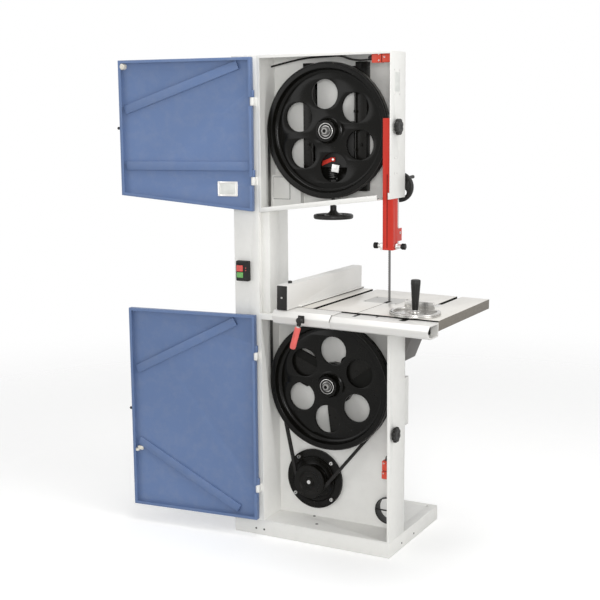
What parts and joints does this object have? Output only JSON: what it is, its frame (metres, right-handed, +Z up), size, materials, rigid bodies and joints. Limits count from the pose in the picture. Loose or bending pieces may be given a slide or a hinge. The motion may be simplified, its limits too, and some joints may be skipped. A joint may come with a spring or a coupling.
{
  "type": "band saw",
  "caption": "Floor-standing band saw with swung-open wheel doors, tilting iron table, rip fence, mitre gauge, sliding guide post with guard and belt-driven lower wheel.",
  "frame": {"origin": "middle of the base's underside, on the floor", "axes": "+X right along the front, +Y to the back, +Z up"},
  "size_m": [1.484, 0.878, 1.994],
  "materials": {
    "white_paint": "semi-gloss powder coat",
    "blue_paint": "satin powder coat",
    "black_paint": "satin paint",
    "black_plastic": "moulded",
    "red_paint": "semi-gloss",
    "red_plastic": "moulded",
    "green_plastic": "moulded",
    "rubber": "matte",
    "bright_steel": "turned and ground",
    "blade_steel": "tempered strip",
    "ground_iron": "ground top",
    "cast_iron": "as cast",
    "aluminium": "anodised"
  },
  "bodies": {
    "frame": {"base": "white_paint", "column": "white_paint", "upper_box": "white_paint", "lower_box": "white_paint", "blade_run_cover": "white_paint", "lower_axle": "bright_steel", "saw_blade": "blade_steel", "drive_belt": "rubber", "motor_flange": "black_paint", "motor_housing": "black_paint", "tension_bracket": "black_paint", "lower_guide": "cast_iron", "table_saddle": "cast_iron", "switch_box": "black_plastic", "upper_limit_switch": "red_plastic", "upper_switch_cable": "rubber", "lower_limit_switch": "red_plastic", "lower_switch_cable": "rubber", "dust_port": "black_plastic"},
    "upper_door": {"upper_door": "blue_paint", "upper_door_diagonal_brace": "blue_paint", "upper_door_cross_brace": "blue_paint"},
    "lower_door": {"lower_door": "blue_paint", "lower_door_upper_brace": "blue_paint", "lower_door_lower_brace": "blue_paint"},
    "upper_latch": {"upper_latch_knob": "black_plastic"},
    "lower_latch": {"lower_latch_knob": "black_plastic"},
    "tension_carriage": {"tension_carriage": "cast_iron", "upper_axle": "bright_steel", "tension_spring": "bright_steel", "tension_nut": "bright_steel", "tension_pointer": "red_paint"},
    "upper_wheel": {"upper_wheel": "black_paint", "upper_tyre": "rubber", "upper_bearing": "bright_steel"},
    "lower_wheel": {"lower_wheel": "black_paint", "lower_tyre": "rubber", "lower_bearing": "bright_steel", "drive_pulley": "black_paint"},
    "motor_pulley": {"motor_pulley": "black_paint"},
    "tension_handwheel": {"tension_handwheel": "black_plastic"},
    "guide_post": {"guide_post": "bright_steel", "blade_guard": "red_paint", "guide_block": "aluminium"},
    "guide_crank": {"guide_crank": "black_plastic"},
    "left_guide_knob": {"left_guide_knob": "black_plastic"},
    "right_guide_knob": {"right_guide_knob": "black_plastic"},
    "table": {"table": "ground_iron", "table_insert": "aluminium", "table_trunnion": "cast_iron", "front_rail": "aluminium"},
    "fence": {"fence_carrier": "aluminium", "fence": "aluminium", "fence_end_cap": "black_plastic"},
    "fence_lever": {"fence_lever": "red_plastic"},
    "mitre_bar": {"mitre_bar": "bright_steel"},
    "mitre_head": {"mitre_head": "aluminium"},
    "mitre_handle": {"mitre_handle": "black_plastic"},
    "start_button": {"start_button": "green_plastic"},
    "stop_button": {"stop_button": "red_plastic"}
  },
  "joints": [
    {"name": "upper_door_hinge", "type": "hinge", "parent": "frame", "child": "upper_door", "pos_m": [-0.232, -0.281, 1.68], "axis": [0, 0, 1], "range_deg": [-5, 172]},
    {"name": "lower_door_hinge", "type": "hinge", "parent": "frame", "child": "lower_door", "pos_m": [-0.232, -0.281, 0.51], "axis": [0, 0, 1], "range_deg": [-3, 122]},
    {"name": "upper_latch_turn", "type": "hinge", "parent": "frame", "child": "upper_latch", "pos_m": [0.372, -0.214, 1.71], "axis": [1, 0, 0], "range_deg": [0, 90]},
    {"name": "lower_latch_turn", "type": "hinge", "parent": "frame", "child": "lower_latch", "pos_m": [0.372, -0.226, 0.506], "axis": [1, 0, 0], "range_deg": [0, 90]},
    {"name": "tension_slide", "type": "slide", "parent": "frame", "child": "tension_carriage", "axis": [0, 0, 1], "range_m": [-0.01, 0]},
    {"name": "tension_wheel_turn", "type": "hinge", "parent": "frame", "child": "tension_handwheel", "pos_m": [0.0605, -0.147, 1.354], "axis": [0, 0, 1], "range_deg": [-1, 901]},
    {"name": "lower_wheel_spin", "type": "hinge", "parent": "frame", "child": "lower_wheel", "pos_m": [0.0605, -0.195, 0.665], "axis": [0, 1, 0], "continuous": true},
    {"name": "upper_wheel_spin", "type": "hinge", "parent": "tension_carriage", "child": "upper_wheel", "pos_m": [0.0605, -0.195, 1.695], "axis": [0, 1, 0], "continuous": true},
    {"name": "motor_spin", "type": "hinge", "parent": "frame", "child": "motor_pulley", "pos_m": [-0.046, -0.16, 0.235], "axis": [0, 1, 0], "continuous": true},
    {"name": "guide_height", "type": "slide", "parent": "frame", "child": "guide_post", "axis": [0, 0, -1], "range_m": [-0.15, 0.13]},
    {"name": "guide_crank_turn", "type": "hinge", "parent": "frame", "child": "guide_crank", "pos_m": [0.327, -0.1, 1.475], "axis": [0, 1, 0], "range_deg": [-820, 711]},
    {"name": "left_guide_knob_turn", "type": "hinge", "parent": "guide_post", "child": "left_guide_knob", "pos_m": [0.28, -0.193, 1.251], "axis": [1, 0, 0], "range_deg": [-180, 180]},
    {"name": "right_guide_knob_turn", "type": "hinge", "parent": "guide_post", "child": "right_guide_knob", "pos_m": [0.38, -0.193, 1.251], "axis": [1, 0, 0], "range_deg": [-180, 180]},
    {"name": "table_tilt", "type": "hinge", "parent": "frame", "child": "table", "pos_m": [0.327, 0, 1.032], "axis": [0, 1, 0], "range_deg": [-1, 44]},
    {"name": "fence_slide", "type": "slide", "parent": "table", "child": "fence", "axis": [-0.9998, 0, 0.0175], "range_m": [-0.23, 0]},
    {"name": "fence_lever_turn", "type": "hinge", "parent": "fence", "child": "fence_lever", "pos_m": [0.1521, -0.606, 1.009], "axis": [0, 1, 0], "range_deg": [-90, 30]},
    {"name": "mitre_slide", "type": "slide", "parent": "table", "child": "mitre_bar", "axis": [0, 1, 0], "range_m": [0, 0.25]},
    {"name": "mitre_swivel", "type": "hinge", "parent": "mitre_bar", "child": "mitre_head", "pos_m": [0.524, -0.402, 1.0296], "axis": [0.0175, 0, 0.9998], "range_deg": [-60, 60]},
    {"name": "mitre_handle_turn", "type": "hinge", "parent": "mitre_head", "child": "mitre_handle", "pos_m": [0.5252, -0.402, 1.0996], "axis": [0.0175, 0, 0.9998], "range_deg": [-90, 90]},
    {"name": "start_press", "type": "slide", "parent": "frame", "child": "start_button", "axis": [0, 1, 0], "range_m": [0, 0.003], "stiffness_N_per_m": 400},
    {"name": "stop_press", "type": "slide", "parent": "frame", "child": "stop_button", "axis": [0, 1, 0], "range_m": [0, 0.003], "stiffness_N_per_m": 400}
  ],
  "couplings": [
    {"joint": "tension_wheel_turn", "follows": "tension_slide", "rad_per_m": -1570.8},
    {"joint": "upper_wheel_spin", "follows": "lower_wheel_spin", "ratio": 1},
    {"joint": "motor_spin", "follows": "lower_wheel_spin", "ratio": 4.129},
    {"joint": "guide_crank_turn", "follows": "guide_height", "rad_per_m": 95.238}
  ]
}
